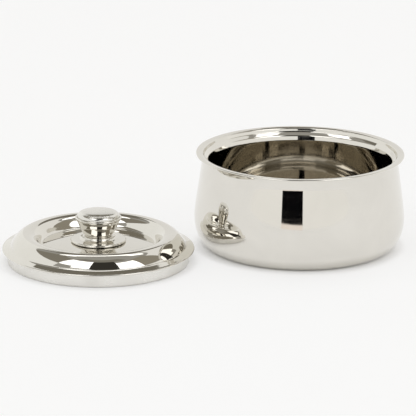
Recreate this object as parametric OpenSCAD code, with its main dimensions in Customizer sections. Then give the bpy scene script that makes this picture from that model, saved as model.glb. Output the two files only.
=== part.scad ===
// Insulated serving casserole: a double-walled steel bowl with foam between its walls, and a
// loose double-walled lid with a screwed-on knob, lying beside the bowl.
// Millimetres, +Z up. The origin is on the table, under the centre of the bowl's base.
// A pressed sheet is drawn as a path along its exposed face and thickened to the path's left.

/* [Bowl] */
// Diameter over the hemmed rim
rim_d = 220; // [218:1:226]
// Height from the table to the top of the rim
bowl_h = 101; // [98:1:120]
// Largest diameter of the outer wall
belly_d = 223; // [218:1:228]
// Height of that largest diameter
belly_z = 32; // [28:1:36]
// Diameter of the outer wall where its flare to the rim begins
neck_d = 208.7; // [208.3:0.1:209.5]
// Diameter of the ring that the bowl stands on
foot_d = 185; // [182:1:190]
// Diameter of the inner wall
bore_d = 192; // [191:0.5:192.5]
// Height of the inner floor above the table
floor_z = 12; // [10:1:50]
// Radius between the inner wall and the inner floor
floor_r = 10; // [6:1:24]
// Sheet thickness of the outer wall
outer_sheet = 0.7; // [0.6:0.1:0.8]
// Sheet thickness of the inner bowl
inner_sheet = 0.6; // [0.5:0.1:0.7]

/* [Base] */
// Diameter of the base plate
base_d = 174; // [168:0.5:176]
// Diameter of the foam filling hole
fill_d = 14; // [10:1:20]

/* [Lid] */
// Diameter over the lid's hemmed edge
lid_d = 200.4; // [199.6:0.2:201]
// Diameter of the skirt that drops into the bowl
skirt_d = 189.4; // [188:0.2:190]
// Height of the hemmed edge above the skirt's lower end
edge_z = 13; // [11:0.5:15]
// Diameter at the top of the raised ring
crest_d = 153; // [148:1:156]
// Height of the raised ring above the skirt's lower end
crest_z = 30.2; // [29:0.1:32]
// Diameter of the recess inside the raised ring
well_d = 118; // [114:1:120]
// Height of the recess's edge above the skirt's lower end
well_z = 18; // [17:0.1:19]
// How far the recess rises towards the knob
well_rise = 3.2; // [2:0.1:4]
// Sheet thickness of the lid's two skins
lid_sheet = 0.6; // [0.5:0.1:0.7]
// Where the lid lies, to the side of the bowl
lid_x = -211; // [-260:1:-211]
// Where the lid lies, in front of the bowl
lid_y = -65; // [-120:1:-65]

/* [Knob] */
// Diameter over the knob's rolled lip
knob_d = 48.2; // [46:0.2:50]
// Height of the knob above the skirt's lower end
knob_z = 54.2; // [53.8:0.1:54.6]
// Diameter of the base disc
disc_d = 57.8; // [54:0.2:60]
// Diameter of the knob screw
screw_d = 5; // [4:1:5]

/* [Hidden] */
$fn = 180;
slip = 0.05;                                   // between sheets hemmed or pressed together
foam_gap = 0.1;                                // between the foam and the sheet round it
rim_r = rim_d / 2;
belly_r = belly_d / 2;
neck_r = neck_d / 2;
foot_r = foot_d / 2;
bore_r = bore_d / 2;
base_r = base_d / 2;
lid_r = lid_d / 2;
skirt_r = skirt_d / 2;
crest_r = crest_d / 2;
well_r = well_d / 2;

// The bowl's rim hem is three sheets high, and the outer wall's flange lies in its middle
hem_h = 2 * inner_sheet + outer_sheet + 2 * slip;
hem_z = bowl_h - hem_h;
flange_z = hem_z + inner_sheet + slip;
flange_in = rim_r - 3.2;                       // where the flange turns down into the neck
neck_z = bowl_h - 13.5;
bore_top = bowl_h - 12.8;                      // where the inner wall becomes straight

// The base plate lies up in a recess, inside the ring that the bowl stands on
recess_z = 2.3;
recess_r = base_r + 0.7;
plate_t = 0.6;
plate_z = recess_z - slip - plate_t;
plate_mid = plate_z + 1;                       // underside of the plate's raised middle
foam_low = plate_mid + plate_t + foam_gap;

// The lid's hem, with the liner's flange in its middle
lid_hem_h = 3 * lid_sheet + 2 * slip;
liner_z = edge_z + lid_sheet + slip;
under_z = 1.8;                                 // the liner's panel, above the skirt's end
hub_z = well_z + well_rise;                    // the recess at the knob
hub_r = 30;                                    // about where its rise ends, round the disc
screw_r = screw_d / 2;
hole_r = screw_r + 0.2;
disc_r = disc_d / 2;
disc_z = hub_z + 0.4;                          // lower side of the disc's rolled edge
disc_t = 0.8;
collar_z = hub_z + 6.6;                        // top of the collar that carries the knob
collar_r = 16.6;
body_z = collar_z + slip;
knob_t = 0.6;
lip_r = 1.1;                                   // roll of the knob's lip
lip_x = knob_d / 2 - lip_r;
lip_z = knob_z - 7.3;
cap_r = lip_x - lip_r - slip;
washer_t = 1.2;
washer_r = 11;
washer_z = hub_z - lid_sheet - slip - washer_t;
head_r = 4.7;
head_h = 3.2;

// Points of a round arc from angle a to angle b
function arc(c, r, a, b, n = 8) =
    [for (i = [0 : n]) let (t = a + (b - a) * i / n) c + r * [cos(t), sin(t)]];
// Points of a curve from p to s with the handles q and r, its first point left out
function curve(p, q, r, s, n = 8) = [for (i = [1 : n]) let (t = i / n, u = 1 - t)
    u * u * u * p + 3 * u * u * t * q + 3 * u * t * t * r + t * t * t * s];
// Unit normal on the left of the path at point i
function left(path, i) =
    let (a = path[max(i - 1, 0)], b = path[min(i + 1, len(path) - 1)], d = (b - a) / norm(b - a))
    [-d.y, d.x];
// The path moved to its left, never past the axis
function moved(path, by) = [for (i = [0 : len(path) - 1]) let (p = path[i] + by * left(path, i))
    [max(p.x, 0), p.y]];
// The path from its other end
function turned(path) = [for (i = [len(path) - 1 : -1 : 0]) path[i]];
// The part of the path above a height
function above(path, z) = [for (p = path) if (p.y >= z) p];
// The part of the path nearer to the axis than a radius
function within(path, r) = [for (p = path) if (p.x <= r) p];

// Outer wall of the bowl: recess, ring, belly and neck
wall_path = concat(
    [[base_r - 7, recess_z]],
    arc([recess_r - 0.6, recess_z - 0.6], 0.6, 90, 0, 4),
    arc([recess_r + 0.8, 0.8], 0.8, 180, 270, 4),
    [[foot_r, 0]],
    curve([foot_r, 0], [foot_r + 11, 0], [belly_r, belly_z - 18], [belly_r, belly_z], 16),
    curve([belly_r, belly_z], [belly_r, belly_z + 9], [neck_r + 3.6, neck_z - 27],
          [neck_r, neck_z], 16));
// Flare from the neck to the flange under the rim
flare_path = concat(
    curve([neck_r, neck_z], [neck_r - 1.06, neck_z + 7.9], [flange_in - 2.6, flange_z],
          [flange_in, flange_z], 8),
    [[rim_r - 1.3, flange_z]]);

// Rim of the inner bowl: hem, lip, step, seat for the lid and second step
hem_r = hem_h / 2;
rim_path = concat(
    [[rim_r - 3.1, hem_z]],
    arc([rim_r - hem_r, hem_z + hem_r], hem_r, -90, 90),
    [[rim_r - 2.8, bowl_h], [bore_r + 7.3, bowl_h - 0.6]],
    curve([bore_r + 7.3, bowl_h - 0.6], [bore_r + 6.8, bowl_h - 0.7],
          [bore_r + 6.55, bowl_h - 1.1], [bore_r + 6.4, bowl_h - 1.7], 4),
    curve([bore_r + 5.7, bowl_h - 4.2], [bore_r + 5.5, bowl_h - 4.9],
          [bore_r + 5.1, bowl_h - 5.1], [bore_r + 4.6, bowl_h - 5.4], 4),
    curve([bore_r + 2, bowl_h - 7], [bore_r + 1.4, bowl_h - 7.4],
          [bore_r + 1.15, bowl_h - 8], [bore_r + 1, bowl_h - 8.6], 4),
    curve([bore_r + 0.2, bowl_h - 11.4], [bore_r + 0.1, bowl_h - 11.8],
          [bore_r, bowl_h - 12.3], [bore_r, bore_top], 4));
// Inner wall and floor
bowl_path = concat(
    arc([bore_r - floor_r, floor_z + floor_r], floor_r, 0, -90, 12),
    [[0, floor_z]]);

// Top skin of the lid: hem, flange, raised ring and recess
lid_hem_r = lid_hem_h / 2;
ring_foot = [crest_r + 14.9, crest_z - 12.6];
lid_edge_path = concat(
    [[lid_r - 2.8, edge_z]],
    arc([lid_r - lid_hem_r, edge_z + lid_hem_r], lid_hem_r, -90, 90));
lid_top_path = concat(
    [ring_foot + [0.6, -0.3]],
    curve(ring_foot, ring_foot + [-1.9, 4.6], [crest_r + 7, crest_z], [crest_r, crest_z], 16),
    curve([crest_r, crest_z], [crest_r - 14, crest_z], [well_r + 4.6, well_z + 1.4],
          [well_r, well_z], 16),
    curve([well_r, well_z], [well_r - 10, well_z + 0.8], [hub_r + 8, hub_z],
          [hub_r - 4, hub_z], 8),
    [[hole_r, hub_z]]);
// Lower skin of the lid: panel, ring that it lies on, skirt and flange
liner_path = concat(
    [[0, under_z], [skirt_r - 10, under_z]],
    curve([skirt_r - 10, under_z], [skirt_r - 8.5, under_z], [skirt_r - 8.5, 0],
          [skirt_r - 7, 0], 6),
    arc([skirt_r - 1.6, 1.6], 1.6, -90, 0, 6),
    arc([skirt_r + 1.8, liner_z - 1.6], 1.6, 180, 90, 6),
    [[lid_r - 1.6, liner_z]]);

// Base disc of the knob: rolled edge, hollow slope and collar
disc_roll = 1.3;
disc_path = concat(
    [[disc_r - 3, disc_z]],
    arc([disc_r - disc_roll, disc_z + disc_roll], disc_roll, -90, 90),
    curve([disc_r - disc_roll, disc_z + 2 * disc_roll], [disc_r - 5, disc_z + 2.4],
          [collar_r + 2.4, disc_z + 2.6], [collar_r + 0.4, disc_z + 4.4], 8),
    arc([collar_r - 1, collar_z - 1], 1, 0, 90, 4),
    [[hole_r, collar_z]]);
// Body of the knob: groove, cup and rolled lip
groove_r = 14.5;
body_path = concat(
    [[hole_r, body_z]],
    arc([groove_r - 0.6, body_z + 0.6], 0.6, -90, 0, 4),
    curve([groove_r, body_z + 0.6], [groove_r, body_z + 1.8], [groove_r + 1.5, body_z + 1.9],
          [groove_r + 2.1, body_z + 3.1], 6),
    curve([groove_r + 2.1, body_z + 3.1], [groove_r + 3.4, body_z + 5.7], [cap_r - 1.6, lip_z - 8],
          [cap_r - 0.2, lip_z - 4.6], 8),
    curve([cap_r - 0.2, lip_z - 4.6], [cap_r + 0.7, lip_z - 2.6], [knob_d / 2, lip_z - 1.8],
          [knob_d / 2, lip_z], 6),
    arc([lip_x, lip_z], lip_r, 0, 180),
    [[lip_x - lip_r, lip_z - 0.8]]);
// Cap of the knob: short skirt and low dome
cap_path = concat(
    [[cap_r, lip_z - 0.7], [cap_r, lip_z + 1.8]],
    curve([cap_r, lip_z + 1.8], [cap_r, lip_z + 3.6], [cap_r - 1, lip_z + 4.6],
          [cap_r - 2.4, lip_z + 5.4], 6),
    curve([cap_r - 2.4, lip_z + 5.4], [cap_r - 4.4, knob_z - 0.8], [cap_r * 0.5, knob_z],
          [0, knob_z], 10));

// A pressed sheet, turned from its path
module sheet(path, thick) {
    rotate_extrude() polygon(concat(path, turned(moved(path, thick))));
}
// The foam between two sheets
module filling(low, high) {
    rotate_extrude() polygon(concat(low, high));
}
// A plain round bar from one height to another
module bar(r, low, high) {
    translate([0, 0, low]) cylinder(r = r, h = high - low);
}
// Puts a piece of the lid where the lid lies
module at_lid() {
    translate([lid_x, lid_y, 0]) children();
}

module outer_shell() {
    color("gainsboro") sheet(concat(wall_path, flare_path), outer_sheet);
}
module inner_bowl() {
    color("silver") sheet(concat(rim_path, bowl_path), inner_sheet);
}
module bowl_insulation() {
    inner = moved(concat(rim_path, bowl_path), inner_sheet + foam_gap);
    outer = moved(wall_path, outer_sheet + foam_gap);
    color("khaki") difference() {
        filling(concat([[0, foam_low]], above(outer, foam_low)),
                above([for (p = inner) if (p.y < bowl_h - 8) p], 0));
        bar(fill_d / 2 + 1.5, 0, foam_low + 4);
    }
}
module base_plate() {
    path = concat([[fill_d / 2, plate_mid], [base_r - 16, plate_mid]],
        curve([base_r - 16, plate_mid], [base_r - 13.5, plate_mid], [base_r - 13.5, plate_z],
              [base_r - 11, plate_z], 6),
        [[base_r, plate_z]]);
    color("darkgray") sheet(path, plate_t);
}
// The plug snaps into the filling hole: head below the plate, barb above it
module foam_plug() {
    stem_r = fill_d / 2 - slip;
    color("dimgray") union() {
        bar(stem_r + 2.5, plate_mid - slip - 1.1, plate_mid - slip);
        bar(stem_r, plate_mid - slip - 0.5, plate_mid + plate_t + slip);
        translate([0, 0, plate_mid + plate_t + slip])
            cylinder(r1 = stem_r + 0.7, r2 = stem_r - 1.5, h = 3);
    }
}
module lid_shell() {
    color("gainsboro") at_lid() sheet(concat(lid_edge_path, lid_top_path), lid_sheet);
}
module lid_liner() {
    color("lightgray") at_lid() sheet(liner_path, lid_sheet);
}
module lid_insulation() {
    low = within(moved(liner_path, lid_sheet + foam_gap), skirt_r - lid_sheet - foam_gap + 0.001);
    high = within(moved(lid_top_path, lid_sheet + foam_gap), ring_foot.x + 0.5);
    color("khaki") at_lid() difference() {
        filling(low, concat(high, [[0, high[len(high) - 1].y]]));
        bar(washer_r + foam_gap, washer_z - foam_gap, hub_z);
        bar(head_r + 0.5, washer_z - head_h - 1, hub_z);
    }
}
module knob_disc() {
    color("silver") at_lid() sheet(disc_path, disc_t);
}
module knob_body() {
    color("gainsboro") at_lid() sheet(body_path, knob_t);
}
module knob_cap() {
    color("whitesmoke") at_lid() sheet(cap_path, knob_t);
}
// Threaded bush welded into the knob's body, drawn with a plain bore
module knob_insert() {
    low = body_z + knob_t;
    color("gray") at_lid() difference() {
        bar(6, low, low + 11);
        bar(screw_r, low - 1, low + 12);
    }
}
module knob_screw() {
    head_z = washer_z - head_h;
    color("gray") at_lid() difference() {
        union() {
            bar(head_r, head_z, washer_z);
            bar(screw_r - slip, washer_z - 0.5, body_z + knob_t + 9);
        }
        for (turn = [0, 90]) rotate(turn)
            translate([-2.6, -0.5, head_z - 1]) cube([5.2, 1, 2.8]);
    }
}
module spread_washer() {
    color("darkgray") at_lid() difference() {
        bar(washer_r, washer_z, washer_z + washer_t);
        bar(hole_r, washer_z - 1, washer_z + washer_t + 1);
    }
}

outer_shell();
inner_bowl();
bowl_insulation();
base_plate();
foam_plug();
lid_shell();
lid_liner();
lid_insulation();
knob_disc();
knob_body();
knob_cap();
knob_insert();
knob_screw();
spread_washer();
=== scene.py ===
# Insulated serving casserole: looks for a double-walled steel bowl and the loose lid beside it.
# Metres, +Z up, in the frame of the CAD model. Profiles are written in millimetres.

import math
from types import SimpleNamespace

import bpy
import numpy as np
from bpy.props import FloatProperty, FloatVectorProperty, PointerProperty
from bpy.types import Operator, Panel, PropertyGroup
from mathutils import Matrix, Vector


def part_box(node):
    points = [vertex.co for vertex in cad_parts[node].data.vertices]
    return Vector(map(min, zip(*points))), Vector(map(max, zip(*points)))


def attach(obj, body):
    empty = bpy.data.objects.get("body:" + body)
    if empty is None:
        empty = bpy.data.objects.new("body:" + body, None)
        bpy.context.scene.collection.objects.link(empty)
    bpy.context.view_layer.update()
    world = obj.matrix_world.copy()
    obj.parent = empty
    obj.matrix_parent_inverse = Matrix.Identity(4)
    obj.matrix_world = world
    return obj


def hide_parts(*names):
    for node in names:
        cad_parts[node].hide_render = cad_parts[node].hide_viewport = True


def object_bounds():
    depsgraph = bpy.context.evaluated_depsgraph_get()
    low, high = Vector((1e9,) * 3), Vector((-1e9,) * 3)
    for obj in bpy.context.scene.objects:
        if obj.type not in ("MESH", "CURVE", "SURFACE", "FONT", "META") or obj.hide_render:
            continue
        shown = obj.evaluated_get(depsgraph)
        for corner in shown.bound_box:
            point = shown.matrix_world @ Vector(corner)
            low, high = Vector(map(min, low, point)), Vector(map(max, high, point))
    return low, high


bl_info = {
    "name": "Insulated Casserole",
    "version": (1, 0, 0),
    "blender": (4, 5, 0),
    "location": "3D View > Sidebar > Casserole",
    "description": "Spun steel skins, finishes and stage for an insulated serving casserole",
    "category": "Object",
}

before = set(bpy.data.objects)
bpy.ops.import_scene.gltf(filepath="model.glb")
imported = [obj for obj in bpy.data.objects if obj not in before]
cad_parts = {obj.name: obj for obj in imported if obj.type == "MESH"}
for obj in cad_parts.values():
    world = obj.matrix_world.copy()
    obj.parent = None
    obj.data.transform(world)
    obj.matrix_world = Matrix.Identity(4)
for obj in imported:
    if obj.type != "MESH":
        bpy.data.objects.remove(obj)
CAD_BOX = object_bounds()

MM = 0.001
AROUND = 256  # facets round a skin
AROUND_KNOB = 160  # facets round a piece of the knob
FINE = 1.5  # longest facet along a profile, mm: longer ones tilt the normals of a mirror
SLIP = 0.05  # between sheets pressed together, mm
HOLE = 2.7  # radius of the screw's clearance hole, mm
BORE_TOP = 12.8  # where the bowl's wall becomes straight, below the top of the rim, mm
HUB = 30  # where the lid's recess stops rising, round the knob's disc, mm
COLLAR = 6.6  # from the recess up to the top of the disc's collar, mm
LIP_DROP = 7.3  # from the top of the knob down to the middle of its lip, mm
LIP_R = 1.1  # roll of the knob's lip, mm
SHARP = math.radians(40)  # a steeper fold between two facets stays a crease
CARD_STEPS = 12  # facets along each side of a studio card
TABLE_STEPS = 96  # corners of the round table top
TABLE_R = 12.0  # its radius in metres: its edge is out of the picture from 6 degrees up
TABLE_Z = -0.0002  # just under the object, so that no two faces share a plane, m
CONTACT = 0.012  # how far the dark line reaches where steel meets the table, m
LAMP_AT = (-0.1, 0.0, 2.5)  # middle of the soft lamp, m
LAMP_SIZE = 3.0  # its side, m
LAMP_POWER = 22.0  # W
CAMERA_TURN = (-0.1011, 0.0399)  # X and Z of the point that the camera swings round, m
CAMERA_AIM = (-0.0969, 0.0, 0.0388)  # the point that it looks at, m
WHITE = (1, 1, 1, 1)


def linear(code):
    """The linear colour of an sRGB hex value such as "#E1DDD6"."""
    value = np.array([int(code[i : i + 2], 16) for i in (1, 3, 5)]) / 255
    value = np.where(value <= 0.04045, value / 12.92, ((value + 0.055) / 1.055) ** 2.4)
    return (*value.tolist(), 1.0)


# ---------------------------------------------------------------- settings


def length(name, description, default):
    """A length setting, in metres."""
    return FloatProperty(
        name=name, description=description, default=default, min=0, precision=4, unit="LENGTH"
    )


def tint(name, description, code):
    """A colour setting, from its sRGB hex value."""
    return FloatVectorProperty(
        name=name,
        description=description,
        default=linear(code),
        size=4,
        min=0,
        soft_max=1,
        subtype="COLOR",
    )


def width(node):
    """The width of a CAD node along X, for a default."""
    low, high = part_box(node)
    return high[0] - low[0]


def top(node):
    """The highest point of a CAD node, for a default."""
    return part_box(node)[1][2]


class BowlSizes(PropertyGroup):
    rim_d: length("Rim", "Diameter over the hemmed rim", width("inner_bowl"))
    height: length("Height", "From the table to the top of the rim", top("inner_bowl"))
    belly_d: length("Belly", "Largest diameter of the outer wall", width("outer_shell"))
    belly_z: length("Belly height", "Height of the largest diameter", 0.032)
    neck_d: length("Neck", "Diameter of the outer wall where its flare begins", 0.2087)
    foot_d: length("Foot", "Diameter of the ring that the bowl stands on", 0.185)
    bore_d: length("Bore", "Diameter of the inner wall", 0.192)
    floor_z: length("Floor height", "Inner floor above the table", 0.012)
    floor_r: length("Floor corner", "Radius between inner wall and floor", 0.010)
    base_d: length("Base plate", "Diameter of the base plate", width("base_plate"))
    outer_sheet: length("Outer sheet", "Thickness of the outer wall", 0.0007)
    inner_sheet: length("Inner sheet", "Thickness of the inner bowl", 0.0006)


class LidSizes(PropertyGroup):
    lid_d: length("Lid", "Diameter over the hemmed edge", width("lid_shell"))
    skirt_d: length("Skirt", "Diameter of the skirt that drops into the bowl", 0.1894)
    edge_z: length("Edge height", "Hemmed edge above the skirt's end", 0.013)
    crest_d: length("Ring", "Diameter at the top of the raised ring", 0.153)
    crest_z: length("Ring height", "Raised ring above the skirt's end", top("lid_shell"))
    well_d: length("Recess", "Diameter of the recess inside the ring", 0.118)
    well_z: length("Recess height", "Edge of the recess above the skirt's end", 0.018)
    well_rise: length("Recess rise", "Rise of the recess towards the knob", 0.0032)
    sheet: length("Sheet", "Thickness of the lid's two skins", 0.0006)


class KnobSizes(PropertyGroup):
    knob_d: length("Knob", "Diameter over the rolled lip", width("knob_body"))
    knob_z: length("Knob height", "Top of the knob above the skirt's end", top("knob_cap"))
    disc_d: length("Disc", "Diameter of the base disc", width("knob_disc"))
    disc_sheet: length("Disc sheet", "Thickness of the base disc", 0.0008)
    knob_sheet: length("Knob sheet", "Thickness of the knob's sheet", 0.0006)


class Finishes(PropertyGroup):
    mirror: tint("Mirror steel", "Polished stainless steel, straight on", "#E2DFD8")
    mirror_dull: tint("Handled steel", "The same where it has been handled", "#DEDBD4")
    # painted shade: the inside's two colours are the mirror steel made darker and browner for the
    # hollow; the dull one also marks where food has been stirred
    drawn: tint("Drawn steel", "Inside of the bowl, straight on", "#CFCAC0")
    drawn_shaded_stirred: tint("Drawn steel, dull", "The same where food has been stirred", "#C6C1B7")
    satin: tint("Satin steel", "Brushed stainless steel, straight on", "#E8E6E1")
    satin_dull: tint("Satin steel, dull", "The same between the brush lines", "#DCDAD4")
    mill: tint("Mill steel", "Stainless sheet as it left the rolls", "#B9B7B2")
    mill_dull: tint("Mill steel, dull", "The same where the tool rubbed it", "#A5A39E")
    zinc: tint("Zinc plate", "Bright zinc on the screw, bush and washer", "#C4C6C6")
    zinc_dull: tint("Zinc plate, dull", "The same where it has bloomed", "#A8ABAD")
    foam: tint("Foam", "Rigid polyurethane foam", "#E9DCB4")
    foam_cell: tint("Foam cells", "The same inside its open cells", "#D3BF8A")
    plug: tint("Plug", "Black polyethylene", "#1B1B1C")
    plug_worn: tint("Plug, worn", "The same where it is scuffed", "#2E2E30")


class StageSettings(PropertyGroup):
    distance: length("Camera distance", "From the camera to what it looks at", 3.185)
    pitch: FloatProperty(
        name="Pitch",
        description="How far the camera looks down",
        default=math.radians(16.16),
        subtype="ANGLE",
    )
    roll: FloatProperty(
        name="Roll",
        description="Turn of the camera about its axis",
        default=math.radians(0.44),
        subtype="ANGLE",
    )
    lens: FloatProperty(
        name="Lens",
        description="Focal length on a 36 mm wide sensor",
        default=259.6,
        unit="CAMERA",
    )
    softbox: FloatProperty(
        name="Softboxes", description="Level of the two softboxes", default=2.0, min=0, max=10
    )
    glow: FloatProperty(
        name="Floor lift",
        description="How much of the floor is plain white to the eye and to mirrors",
        default=0.65,
        min=0,
        max=1,
        subtype="FACTOR",
    )
    paper: tint("Floor", "White table top", "#FAFAFA")
    room: tint("Room", "Unlit room round the stage", "#A3A19B")


GROUPS = {
    "casserole_bowl": BowlSizes,
    "casserole_lid": LidSizes,
    "casserole_knob": KnobSizes,
    "casserole_finish": Finishes,
    "casserole_stage": StageSettings,
}


def in_mm(group):
    """The lengths of a settings group, in millimetres."""
    return SimpleNamespace(**{key: getattr(group, key) / MM for key in group.__annotations__})


# ---------------------------------------------------------------- profiles


def arc(centre, radius, start, end, steps):
    """Points of a round arc: centre + radius (cos t, sin t), t from start to end in degrees."""
    t = np.radians(np.linspace(start, end, steps + 1))
    return np.column_stack((centre[0] + radius * np.cos(t), centre[1] + radius * np.sin(t)))


def curve(p, q, r, s, steps):
    """Cubic curve u^3 p + 3 u^2 t q + 3 u t^2 r + t^3 s with u = 1 - t, without its first point."""
    t = np.linspace(0, 1, steps + 1)[1:, None]
    u = 1 - t
    p, q, r, s = (np.array(point, float) for point in (p, q, r, s))
    return u**3 * p + 3 * u * u * t * q + 3 * u * t * t * r + t**3 * s


def fine(path, step):
    """The path with every stretch cut into equal parts no longer than the step."""
    run = np.diff(path, axis=0)
    parts = np.maximum(1, np.ceil(np.linalg.norm(run, axis=1) / step)).astype(int)
    stretch = np.repeat(np.arange(len(parts)), parts)
    part = np.arange(parts.sum()) - np.repeat(np.cumsum(parts) - parts, parts)
    points = path[:-1][stretch] + (part / parts[stretch])[:, None] * run[stretch]
    return np.vstack((points, path[-1:]))


def moved(path, by):
    """The path shifted to its left by the sheet's thickness, square to the chord of each point's
    two neighbours, and never past the axis."""
    before = path[np.maximum(np.arange(len(path)) - 1, 0)]
    after = path[np.minimum(np.arange(len(path)) + 1, len(path) - 1)]
    run = (after - before) / np.linalg.norm(after - before, axis=1)[:, None]
    shifted = path + by * np.column_stack((-run[:, 1], run[:, 0]))
    return np.column_stack((np.maximum(shifted[:, 0], 0), shifted[:, 1]))


def outer_wall_path(b):
    """Recess, standing ring, belly, neck and the flange that the rim is hemmed over."""
    base, foot, belly, neck, rim = (
        d / 2 for d in (b.base_d, b.foot_d, b.belly_d, b.neck_d, b.rim_d)
    )
    recess_z, recess = 2.3, base + 0.7
    hem = 2 * b.inner_sheet + b.outer_sheet + 2 * SLIP
    flange_z = b.height - hem + b.inner_sheet + SLIP
    flange = rim - 3.2
    neck_z = b.height - 13.5
    return np.vstack(
        (
            [(base - 7, recess_z)],
            arc((recess - 0.6, recess_z - 0.6), 0.6, 90, 0, 8),
            arc((recess + 0.8, 0.8), 0.8, 180, 270, 10),
            [(foot, 0)],
            curve((foot, 0), (foot + 11, 0), (belly, b.belly_z - 18), (belly, b.belly_z), 56),
            curve(
                (belly, b.belly_z),
                (belly, b.belly_z + 9),
                (neck + 3.6, neck_z - 27),
                (neck, neck_z),
                64,
            ),
            curve(
                (neck, neck_z),
                (neck - 1.06, neck_z + 7.9),
                (flange - 2.6, flange_z),
                (flange, flange_z),
                32,
            ),
            [(rim - 1.3, flange_z)],
        )
    )


def inner_bowl_path(b):
    """Hem, lip, step, seat for the lid, second step, straight wall, corner and floor."""
    rim, bore, height = b.rim_d / 2, b.bore_d / 2, b.height
    hem = b.inner_sheet + b.outer_sheet / 2 + SLIP
    lip = (bore + 7.3, height - 0.6)
    return np.vstack(
        (
            [(rim - 3.1, height - 2 * hem)],
            arc((rim - hem, height - hem), hem, -90, 90, 24),
            [(rim - 2.8, height), lip],
            curve(
                lip,
                (bore + 6.8, height - 0.7),
                (bore + 6.55, height - 1.1),
                (bore + 6.4, height - 1.7),
                12,
            ),
            curve(
                (bore + 5.7, height - 4.2),
                (bore + 5.5, height - 4.9),
                (bore + 5.1, height - 5.1),
                (bore + 4.6, height - 5.4),
                12,
            ),
            curve(
                (bore + 2, height - 7),
                (bore + 1.4, height - 7.4),
                (bore + 1.15, height - 8),
                (bore + 1, height - 8.6),
                12,
            ),
            curve(
                (bore + 0.2, height - 11.4),
                (bore + 0.1, height - 11.8),
                (bore, height - 12.3),
                (bore, height - BORE_TOP),
                12,
            ),
            arc((bore - b.floor_r, b.floor_z + b.floor_r), b.floor_r, 0, -90, 40),
            [(0, b.floor_z)],
        )
    )


def lid_shell_path(d):
    """Hem, flange, raised ring and the recess that rises a little towards the knob."""
    lid, crest, well = d.lid_d / 2, d.crest_d / 2, d.well_d / 2
    hem = (3 * d.sheet + 2 * SLIP) / 2
    foot = (crest + 14.9, d.crest_z - 12.6)
    hub_z = d.well_z + d.well_rise
    return np.vstack(
        (
            [(lid - 2.8, d.edge_z)],
            arc((lid - hem, d.edge_z + hem), hem, -90, 90, 24),
            [(foot[0] + 0.6, foot[1] - 0.3)],
            curve(
                foot,
                (foot[0] - 1.9, foot[1] + 4.6),
                (crest + 7, d.crest_z),
                (crest, d.crest_z),
                64,
            ),
            curve(
                (crest, d.crest_z),
                (crest - 14, d.crest_z),
                (well + 4.6, d.well_z + 1.4),
                (well, d.well_z),
                56,
            ),
            curve(
                (well, d.well_z),
                (well - 10, d.well_z + 0.8),
                (HUB + 8, hub_z),
                (HUB - 4, hub_z),
                24,
            ),
            [(HOLE, hub_z)],
        )
    )


def lid_liner_path(d):
    """Panel, ring that the lid lies on, skirt and flange."""
    skirt = d.skirt_d / 2
    under, flange_z = 1.8, d.edge_z + d.sheet + SLIP
    return np.vstack(
        (
            [(0, under), (skirt - 10, under)],
            curve((skirt - 10, under), (skirt - 8.5, under), (skirt - 8.5, 0), (skirt - 7, 0), 16),
            arc((skirt - 1.6, 1.6), 1.6, -90, 0, 16),
            arc((skirt + 1.8, flange_z - 1.6), 1.6, 180, 90, 16),
            [(d.lid_d / 2 - 1.6, flange_z)],
        )
    )


def knob_disc_path(k, hub):
    """Rolled edge, hollow slope and the collar that carries the knob."""
    disc, roll, collar = k.disc_d / 2, 1.3, 16.6
    low, high = hub + 0.4, hub + COLLAR
    return np.vstack(
        (
            [(disc - 3, low)],
            arc((disc - roll, low + roll), roll, -90, 90, 24),
            curve(
                (disc - roll, low + 2 * roll),
                (disc - 5, low + 2.4),
                (collar + 2.4, low + 2.6),
                (collar + 0.4, low + 4.4),
                40,
            ),
            arc((collar - 1, high - 1), 1, 0, 90, 12),
            [(HOLE, high)],
        )
    )


def knob_body_path(k, hub):
    """Groove for the fingers, cup and rolled lip."""
    groove, low = 14.5, hub + COLLAR + SLIP
    lip, lip_z = k.knob_d / 2 - LIP_R, k.knob_z - LIP_DROP
    cap = lip - LIP_R - SLIP
    return np.vstack(
        (
            [(HOLE, low)],
            arc((groove - 0.6, low + 0.6), 0.6, -90, 0, 12),
            curve(
                (groove, low + 0.6),
                (groove, low + 1.8),
                (groove + 1.5, low + 1.9),
                (groove + 2.1, low + 3.1),
                16,
            ),
            curve(
                (groove + 2.1, low + 3.1),
                (groove + 3.4, low + 5.7),
                (cap - 1.6, lip_z - 8),
                (cap - 0.2, lip_z - 4.6),
                24,
            ),
            curve(
                (cap - 0.2, lip_z - 4.6),
                (cap + 0.7, lip_z - 2.6),
                (k.knob_d / 2, lip_z - 1.8),
                (k.knob_d / 2, lip_z),
                16,
            ),
            arc((lip, lip_z), LIP_R, 0, 180, 24),
            [(lip - LIP_R, lip_z - 0.8)],
        )
    )


def knob_cap_path(k):
    """Short skirt inside the lip, and a low dome."""
    lip_z = k.knob_z - LIP_DROP
    cap = k.knob_d / 2 - 2 * LIP_R - SLIP
    return np.vstack(
        (
            [(cap, lip_z - 0.7), (cap, lip_z + 1.8)],
            curve(
                (cap, lip_z + 1.8),
                (cap, lip_z + 3.6),
                (cap - 1, lip_z + 4.6),
                (cap - 2.4, lip_z + 5.4),
                16,
            ),
            curve(
                (cap - 2.4, lip_z + 5.4),
                (cap - 4.4, k.knob_z - 0.8),
                (cap * 0.5, k.knob_z),
                (0, k.knob_z),
                32,
            ),
        )
    )


# ---------------------------------------------------------------- surfaces


def new_object(name, points, faces, material):
    """An object at the origin, with its place in its mesh."""
    mesh = bpy.data.meshes.new(name)
    mesh.from_pydata(points.tolist(), [], faces)
    mesh.materials.append(material)
    made = bpy.data.objects.new(name, mesh)
    bpy.context.scene.collection.objects.link(made)
    return made


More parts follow.
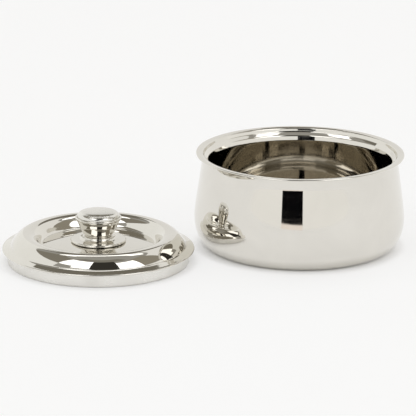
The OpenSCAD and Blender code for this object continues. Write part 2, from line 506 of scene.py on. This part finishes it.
def spun_sheet(name, path, thick, material, centre=(0, 0), around=AROUND):
    """A sheet turned round an upright axis. With r and z along the profile, out on the sheet's
    face and home on its back, and the angle a round the axis, a point is
    (centre x + r cos a, centre y + r sin a, z). A profile point on the axis is one point, with
    triangles round it. The attribute "spun" holds cos a, sin a and the length along the profile,
    for patterns that run round the piece."""
    face = fine(path, FINE)
    back = moved(face, thick)[::-1]
    # a third of the points is enough for the back
    ring = np.vstack((face, back[:-1:3], back[-1:]))
    step = np.linalg.norm(np.roll(ring, -1, axis=0) - ring, axis=1)
    ring, step = ring[step > 1e-3], step[step > 1e-3]
    along = np.concatenate(([0], np.cumsum(step)[:-1]))

    pole = ring[:, 0] < 1e-6
    angle = np.arange(around) * (2 * np.pi / around)
    count = np.where(pole, 1, around)
    number = (np.cumsum(count) - count)[:, None] + np.where(
        pole[:, None], 0, np.arange(around)[None, :]
    )
    kept = ~pole[:, None] | (np.arange(around) == 0)[None, :]
    r, z = (np.repeat(ring[:, i, None] * MM, around, axis=1) for i in (0, 1))
    points = np.stack(
        (centre[0] + r * np.cos(angle), centre[1] + r * np.sin(angle), z), axis=-1
    )[kept]
    spun = np.stack(
        (
            np.cos(angle) + 0 * r,
            np.sin(angle) + 0 * r,
            np.repeat(along[:, None] * MM, around, axis=1),
        ),
        axis=-1,
    )[kept]

    here, beside = number, np.roll(number, -1, axis=1)
    over, across = np.roll(here, -1, axis=0), np.roll(beside, -1, axis=0)
    next_pole = np.roll(pole, -1)
    quads = np.stack((here, beside, across, over), axis=-1)[~pole & ~next_pole]
    start = np.stack((here, across, over), axis=-1)[pole & ~next_pole]
    end = np.stack((here, beside, across), axis=-1)[~pole & next_pole]
    faces = [face for block in (quads, start, end) for row in block.tolist() for face in row]

    made = new_object(name, points, faces, material)
    mesh = made.data
    mesh.shade_smooth()
    mesh.set_sharp_from_angle(angle=SHARP)
    attribute = mesh.attributes.new("spun", "FLOAT_VECTOR", "POINT")
    attribute.data.foreach_set("vector", spun.ravel())
    return made


# ---------------------------------------------------------------- materials


def add(tree, kind, inputs=None, **settings):
    """Adds a node. Its inputs, by name or number, take a value or another node's output."""
    made = tree.nodes.new(kind)
    for key, value in settings.items():
        setattr(made, key, value)
    for key, value in (inputs or {}).items():
        if isinstance(value, bpy.types.NodeSocket):
            tree.links.new(value, made.inputs[key])
        else:
            made.inputs[key].default_value = value
    return made


def blank(name):
    """A material with an empty node tree."""
    material = bpy.data.materials.new(name)
    material.use_nodes = True
    material.node_tree.nodes.clear()
    return material


def joined(tree, operation, one, two):
    """The output of an operation on two values or outputs."""
    return add(tree, "ShaderNodeMath", {0: one, 1: two}, operation=operation).outputs["Value"]


def stretched(tree, value, low, high, start=0.0, end=1.0):
    """The output that runs from start to end while the value runs from low to high."""
    inputs = {"Value": value, 1: low, 2: high, 3: start, 4: end}
    return add(tree, "ShaderNodeMapRange", inputs).outputs["Result"]


def blended(tree, share, bright, dull):
    """The output of two colours mixed by a share: 0 gives bright and 1 gives dull."""
    inputs = {0: share, 6: bright, 7: dull}
    return add(tree, "ShaderNodeMix", inputs, data_type="RGBA").outputs[2]


def finished(material, colour, metallic, gloss, pattern, height):
    """Ends a material: its colour, its roughness and the pattern's relief, height in mm."""
    tree = material.node_tree
    relief = add(
        tree, "ShaderNodeBump", {"Strength": 1.0, "Distance": height * MM, "Height": pattern}
    )
    surface = add(
        tree,
        "ShaderNodeBsdfPrincipled",
        {
            "Base Color": colour,
            "Metallic": metallic,
            "Roughness": gloss,
            "Normal": relief.outputs["Normal"],
        },
    )
    add(tree, "ShaderNodeOutputMaterial", {"Surface": surface.outputs["BSDF"]})
    return material


def spun_steel(name, bright, dull, smooth, rough, line, height):
    """Stainless steel spun over a form and polished while it turned.

    bright and dull are its colours, smooth and rough the limits of its roughness, line the spacing
    of the polishing lines in mm and height their depth in mm. The lines run round the piece, and
    wander slowly with the angle. Broad faint smears lie over them."""
    material = blank(name)
    tree = material.node_tree
    spun = add(tree, "ShaderNodeAttribute", attribute_name="spun")
    # a line is a quarter of a turn long before it fades into the next
    lined = add(
        tree,
        "ShaderNodeVectorMath",
        {0: spun.outputs["Vector"], 1: (1.2, 1.2, 1 / (line * MM))},
        operation="MULTIPLY",
    )
    lines = add(
        tree,
        "ShaderNodeTexNoise",
        {"Vector": lined.outputs["Vector"], "Scale": 1.0, "Detail": 2.0, "Roughness": 0.6},
    )
    place = add(tree, "ShaderNodeTexCoord")
    # smears of a cloth or hand are about 40 mm across
    smears = add(
        tree,
        "ShaderNodeTexNoise",
        {"Vector": place.outputs["Object"], "Scale": 25.0, "Detail": 4.0, "Distortion": 0.6},
    )
    both = joined(tree, "MULTIPLY", lines.outputs["Fac"], smears.outputs["Fac"])
    gloss = stretched(tree, both, 0.12, 0.42, smooth, rough)
    shade = stretched(tree, smears.outputs["Fac"], 0.35, 0.75)
    colour = blended(tree, shade, bright, dull)
    return finished(material, colour, 1.0, gloss, lines.outputs["Fac"], height)


def mottled(name, bright, dull, metallic, smooth, rough, grain, height, cells=False):
    """A material that isn't spun: a mottle of two colours, with a grain or cells of a size in mm
    and a relief of a height in mm. The dull colour is also the rougher."""
    material = blank(name)
    tree = material.node_tree
    place = add(tree, "ShaderNodeTexCoord")
    kind = "ShaderNodeTexVoronoi" if cells else "ShaderNodeTexNoise"
    pattern = add(
        tree, kind, {"Vector": place.outputs["Object"], "Scale": 1 / (grain * MM)}
    )
    pattern = pattern.outputs["Distance" if cells else "Fac"]
    colour = blended(tree, stretched(tree, pattern, 0.25, 0.75), bright, dull)
    gloss = stretched(tree, pattern, 0.25, 0.75, smooth, rough)
    return finished(material, colour, metallic, gloss, pattern, height)


def mirror_polished(name, smooth=0.03, rough=0.07):
    """Stainless steel buffed to a mirror: it shows the studio sharply, a little warm and darker.
    Its buffing lines are 0.1 mm apart, and are drawn 3 mm apart so that they show at all."""
    f = bpy.context.scene.casserole_finish
    return spun_steel(name, f.mirror, f.mirror_dull, smooth, rough, 3.0, 0.0002)


def mirror_shaded_inside(name, smooth, rough):
    """Stainless steel deep drawn into a pan, in a darker and browner copy of the rim's steel:
    painted shade for the inside, which mirrors itself over and over, each time a little darker and
    browner.
    Its lines are drawn 3 mm apart."""
    f = bpy.context.scene.casserole_finish
    return spun_steel(name, f.drawn, f.drawn_shaded_stirred, smooth, rough, 3.0, 0.0002)


def satin_brushed(name, smooth, rough):
    """Stainless steel brushed while it turned: grey and soft, with no clear reflection.
    Its brush lines are 0.2 mm apart, and are drawn 1.2 mm apart so that they show."""
    f = bpy.context.scene.casserole_finish
    return spun_steel(name, f.satin, f.satin_dull, smooth, rough, 1.2, 0.004)


# ---------------------------------------------------------------- pieces


def place_piece(piece, node, body):
    """The piece stands for the CAD node, which it hides, and rides on its body."""
    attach(piece, body)
    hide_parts(node)


def lid_centre():
    """The lid's axis in the CAD, in metres."""
    low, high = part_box("lid_shell")
    return (low[0] + high[0]) / 2, (low[1] + high[1]) / 2


class CASSEROLE_OT_bowl_skins(Operator):
    """Spins the bowl's outer wall and inner bowl"""

    bl_idname = "casserole.bowl_skins"
    bl_label = "Bowl skins"

    def execute(self, context):
        b = in_mm(context.scene.casserole_bowl)
        outer = spun_sheet(
            "outer_wall_skin",
            outer_wall_path(b),
            b.outer_sheet,
            mirror_polished("stainless_mirror_polished_outer", 0.02, 0.05),
        )
        place_piece(outer, "outer_shell", "bowl")
        inner = spun_sheet(
            "inner_bowl_skin",
            inner_bowl_path(b),
            b.inner_sheet,
            mirror_polished("stainless_mirror_polished_rim"),
        )
        # painted shade: the inside of the bowl takes a darker, browner copy of the rim's steel
        inner.data.materials.append(mirror_shaded_inside("stainless_inside_painted_shade", 0.03, 0.06))
        # the faces below the stepped mouth take the second finish: painted shade, a darker and
        # browner copy of the rim's steel
        height = np.empty(len(inner.data.vertices) * 3, dtype=np.float32)
        inner.data.vertices.foreach_get("co", height)
        corner = np.array([face.vertices[0] for face in inner.data.polygons])
        inside = height[2::3][corner] < (b.height - BORE_TOP) * MM
        inner.data.polygons.foreach_set("material_index", inside.astype(np.int32))
        place_piece(inner, "inner_bowl", "bowl")
        return {"FINISHED"}


class CASSEROLE_OT_lid_skins(Operator):
    """Spins the lid's top skin and its liner"""

    bl_idname = "casserole.lid_skins"
    bl_label = "Lid skins"

    def execute(self, context):
        d = in_mm(context.scene.casserole_lid)
        shell = spun_sheet(
            "lid_top_skin",
            lid_shell_path(d),
            d.sheet,
            mirror_polished("stainless_mirror_polished_lid"),
            lid_centre(),
        )
        place_piece(shell, "lid_shell", "lid")
        liner = spun_sheet(
            "lid_liner_skin",
            lid_liner_path(d),
            d.sheet,
            satin_brushed("stainless_satin_brushed_liner", 0.26, 0.36),
            lid_centre(),
        )
        place_piece(liner, "lid_liner", "lid")
        return {"FINISHED"}


class CASSEROLE_OT_knob(Operator):
    """Spins the knob's base disc, body and cap"""

    bl_idname = "casserole.knob"
    bl_label = "Knob"

    def execute(self, context):
        k = in_mm(context.scene.casserole_knob)
        d = in_mm(context.scene.casserole_lid)
        hub = d.well_z + d.well_rise
        polished = mirror_polished("stainless_mirror_polished_knob", 0.02, 0.06)
        cap = satin_brushed("stainless_satin_spun_knob_cap", 0.15, 0.21)
        for node, path, thick, material, slot in (
            ("knob_disc", knob_disc_path(k, hub), k.disc_sheet, polished, "knob_steel"),
            ("knob_body", knob_body_path(k, hub), k.knob_sheet, polished, "knob_steel"),
            ("knob_cap", knob_cap_path(k), k.knob_sheet, cap, "knob_cap_steel"),
        ):
            piece = spun_sheet(node + "_skin", path, thick, material, lid_centre(), AROUND_KNOB)
            place_piece(piece, node, "lid")
        return {"FINISHED"}


class CASSEROLE_OT_plain_parts(Operator):
    """Finishes the CAD parts that keep their own shape: base, plug, foam and screw"""

    bl_idname = "casserole.plain_parts"
    bl_label = "Plain parts"

    def execute(self, context):
        f = context.scene.casserole_finish
        # cold rolled sheet, only pressed: a soft grey sheen with a fine rolled grain
        mill = mottled(
            "stainless_mill_finish_pressed", f.mill, f.mill_dull, 1.0, 0.28, 0.42, 1.5, 0.003
        )
        # turned steel parts with bright zinc plate: cool grey, clouded in patches
        zinc = mottled(
            "steel_bright_zinc_plated", f.zinc, f.zinc_dull, 1.0, 0.25, 0.45, 3.0, 0.002
        )
        # two-part foam poured between the skins: cream, matt, with cells of about 0.9 mm
        foam = mottled(
            "polyurethane_rigid_foam_poured",
            f.foam,
            f.foam_cell,
            0.0,
            0.85,
            0.95,
            0.9,
            0.15,
            cells=True,
        )
        # injection moulded polyethylene: black, waxy, a little orange peel
        plug = mottled(
            "polyethylene_moulded_black", f.plug, f.plug_worn, 0.0, 0.38, 0.55, 1.2, 0.01
        )
        for node, material in {
            "base_plate": mill,
            "foam_plug": plug,
            "bowl_insulation": foam,
            "lid_insulation": foam,
            "knob_insert": zinc,
            "knob_screw": zinc,
            "spread_washer": zinc,
        }.items():
            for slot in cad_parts[node].material_slots:
                slot.material = material
        return {"FINISHED"}


# ---------------------------------------------------------------- stage

# Cards of the studio as the bowl sees it: name, azimuth from and to (0 towards the camera, + to
# the right), elevation from and to, radius, sRGB colour or None for a softbox. Degrees and metres.
CARDS = (
    ("wall_left", -165, -62, 0, 41, 2.6, "#FAFAF7"),
    ("wall_right", 98, 165, 0, 56, 2.6, "#F7F6F3"),
    ("wall_back", 165, 195, 0, 31, 2.6, "#EFEEEB"),
    ("low_front", -62, 98, 0, 26, 2.6, "#FCFBF8"),
    ("shade_back", 150, 210, 31, 60, 2.65, "#7A766C"),
    ("shade_left", -128, -62, 41, 66, 2.5, "#898479"),
    ("shade_right", 64, 104, 28, 62, 2.5, "#979184"),
    ("shade_gap", -16, 29, 22, 64, 2.5, "#3A3834"),
    ("ceiling_front", -60, 60, 64, 76, 2.5, "#88857C"),
    ("softbox_left", -62, -14, 41, 64, 2.3, None),
    ("softbox_left_low", -40, -14, 33, 41, 2.3, None),
    ("softbox_right", 28, 64, 24, 57, 2.3, None),
    ("softbox_back", 122, 238, 60, 70, 2.3, None),
)
# The camera's stand: name, elevation from and to, sRGB colour
STAND = (("stand_foot", 0, 1.05, "#FAF0E8"), ("stand", 1.05, 21, "#050507"))
STAND_SIDES = (-18.4, 4.5)  # its azimuths
STAND_R = 2.2


def glowing(name, colour, level):
    """An even light of a colour."""
    material = blank(name)
    tree = material.node_tree
    light = add(tree, "ShaderNodeEmission", {"Color": colour, "Strength": level})
    add(tree, "ShaderNodeOutputMaterial", {"Surface": light.outputs["Emission"]})
    return material


def card(name, left, right, low, high, radius, material):
    """A patch of a ball round the object: with azimuth a from left to right and elevation e from
    low to high, a point is (r cos e sin a, -r cos e cos a, r sin e), moved to the middle of the
    object. Only light and reflections see it."""
    side = CARD_STEPS + 1
    a = np.radians(np.linspace(left, right, side))[:, None]
    e = np.radians(np.linspace(low, high, side))[None, :]
    middle = (CAD_BOX[0] + CAD_BOX[1]) / 2
    points = np.stack(
        (
            middle.x + radius * np.cos(e) * np.sin(a),
            middle.y - radius * np.cos(e) * np.cos(a),
            radius * np.sin(e) + 0 * a,
        ),
        axis=-1,
    ).reshape(-1, 3)
    number = np.arange(side * side).reshape(side, side)
    faces = np.stack(
        (number[:-1, :-1], number[1:, :-1], number[1:, 1:], number[:-1, 1:]), axis=-1
    ).reshape(-1, 4)
    made = new_object(name, points, faces.tolist(), material)
    made.visible_camera = False
    return made


class CASSEROLE_OT_stage(Operator):
    """Builds the table, the studio round it, the world and the camera"""

    bl_idname = "casserole.stage"
    bl_label = "Stage"

    def execute(self, context):
        s = context.scene.casserole_stage
        self.table(s)
        for name, left, right, low, high, radius, code in CARDS:
            colour, level = (linear(code), 1.0) if code else (WHITE, s.softbox)
            card(name, left, right, low, high, radius, glowing(name, colour, level))
        # the camera and its stand, which the polished wall shows as a black upright bar
        for name, low, high, code in STAND:
            light = glowing(name, linear(code), 1.0)
            part = card(name, *STAND_SIDES, low, high, STAND_R, light)
            part.visible_diffuse = False
            part.visible_shadow = False
        self.overhead(context.scene)
        self.world(context.scene, s)
        self.camera(context.scene, s)
        return {"FINISHED"}

    def table(self, s):
        """A round white table top: with the angle a, a corner is (r cos a, r sin a). Eye and
        mirrors see part of it as plain white, and the rest as lit matt paper that keeps the
        object's shadow. Close to the object it is all paper."""
        a = np.arange(TABLE_STEPS) * (2 * np.pi / TABLE_STEPS)
        points = np.column_stack((TABLE_R * np.cos(a), TABLE_R * np.sin(a), 0 * a + TABLE_Z))
        material = blank("table_white_matt")
        tree = material.node_tree
        place = add(tree, "ShaderNodeTexCoord")
        grain = add(tree, "ShaderNodeTexNoise", {"Vector": place.outputs["Object"], "Scale": 9.0})
        rough = stretched(tree, grain.outputs["Fac"], 0.0, 1.0, 0.75, 0.95)
        paper = add(
            tree,
            "ShaderNodeBsdfPrincipled",
            {"Base Color": s.paper, "Roughness": rough, "Specular IOR Level": 0.0},
        )
        white = add(tree, "ShaderNodeEmission", {"Color": WHITE, "Strength": 1.0})
        seen = add(tree, "ShaderNodeLightPath").outputs
        share = joined(tree, "MAXIMUM", seen["Is Camera Ray"], seen["Is Glossy Ray"])
        share = joined(tree, "MAXIMUM", share, seen["Is Transmission Ray"])
        share = joined(tree, "MULTIPLY", share, s.glow)
        nearby = add(tree, "ShaderNodeAmbientOcclusion", {"Distance": CONTACT}, samples=8)
        share = joined(tree, "MULTIPLY", share, nearby.outputs["AO"])
        both = add(
            tree,
            "ShaderNodeMixShader",
            {0: share, 1: paper.outputs["BSDF"], 2: white.outputs["Emission"]},
        )
        add(tree, "ShaderNodeOutputMaterial", {"Surface": both.outputs["Shader"]})
        new_object("table", points, [list(range(TABLE_STEPS))], material)

    def overhead(self, scene):
        """A broad soft lamp over the table, which mirrors don't show."""
        data = bpy.data.lights.new("overhead", "AREA")
        data.shape = "SQUARE"
        data.size = LAMP_SIZE
        data.energy = LAMP_POWER
        lamp = bpy.data.objects.new("overhead", data)
        lamp.location = LAMP_AT
        lamp.visible_glossy = False
        lamp.visible_camera = False
        scene.collection.objects.link(lamp)

    def world(self, scene, s):
        """A dim warm room for light and mirrors, and plain white for the eye."""
        world = bpy.data.worlds.new("studio")
        scene.world = world
        world.use_nodes = True
        tree = world.node_tree
        tree.nodes.clear()
        seen = add(tree, "ShaderNodeLightPath")
        room = add(tree, "ShaderNodeBackground", {"Color": s.room, "Strength": 1.0})
        white = add(tree, "ShaderNodeBackground", {"Color": WHITE, "Strength": 1.0})
        both = add(
            tree,
            "ShaderNodeMixShader",
            {
                0: seen.outputs["Is Camera Ray"],
                1: room.outputs["Background"],
                2: white.outputs["Background"],
            },
        )
        add(tree, "ShaderNodeOutputWorld", {"Surface": both.outputs["Shader"]})
        scene.view_settings.view_transform = "Standard"

    def camera(self, scene, s):
        """A long lens in front of the bowl, looking down a little."""
        data = bpy.data.cameras.new("camera")
        data.sensor_width = 36
        data.lens = s.lens
        data.clip_end = 100
        camera = bpy.data.objects.new("camera", data)
        scene.collection.objects.link(camera)
        place = Vector(
            (
                CAMERA_TURN[0],
                -s.distance * math.cos(s.pitch),
                CAMERA_TURN[1] + s.distance * math.sin(s.pitch),
            )
        )
        towards = Vector(CAMERA_AIM) - place
        turn = towards.to_track_quat("-Z", "Y").to_matrix().to_4x4()
        camera.matrix_world = Matrix.Translation(place) @ turn @ Matrix.Rotation(s.roll, 4, "Z")
        scene.camera = camera


PIECES = (
    CASSEROLE_OT_bowl_skins,
    CASSEROLE_OT_lid_skins,
    CASSEROLE_OT_knob,
    CASSEROLE_OT_plain_parts,
    CASSEROLE_OT_stage,
)


class CASSEROLE_PT_sidebar(Panel):
    """Lists the settings and the operators"""

    bl_idname = "CASSEROLE_PT_sidebar"
    bl_label = "Insulated casserole"
    bl_space_type = "VIEW_3D"
    bl_region_type = "UI"
    bl_category = "Casserole"

    def draw(self, context):
        for name, group in GROUPS.items():
            column = self.layout.column(align=True)
            column.label(text=group.__name__)
            for key in group.__annotations__:
                column.prop(getattr(context.scene, name), key)
        for piece in PIECES:
            self.layout.operator(piece.bl_idname)


CLASSES = (*GROUPS.values(), *PIECES, CASSEROLE_PT_sidebar)


def register():
    for kind in CLASSES:
        bpy.utils.register_class(kind)
    for name, group in GROUPS.items():
        setattr(bpy.types.Scene, name, PointerProperty(type=group))


def unregister():
    for name in GROUPS:
        delattr(bpy.types.Scene, name)
    for kind in reversed(CLASSES):
        bpy.utils.unregister_class(kind)


def main():
    register()
    bpy.ops.casserole.bowl_skins()
    bpy.ops.casserole.lid_skins()
    bpy.ops.casserole.knob()
    bpy.ops.casserole.plain_parts()
    bpy.ops.casserole.stage()


if __name__ == "__main__":
    main()
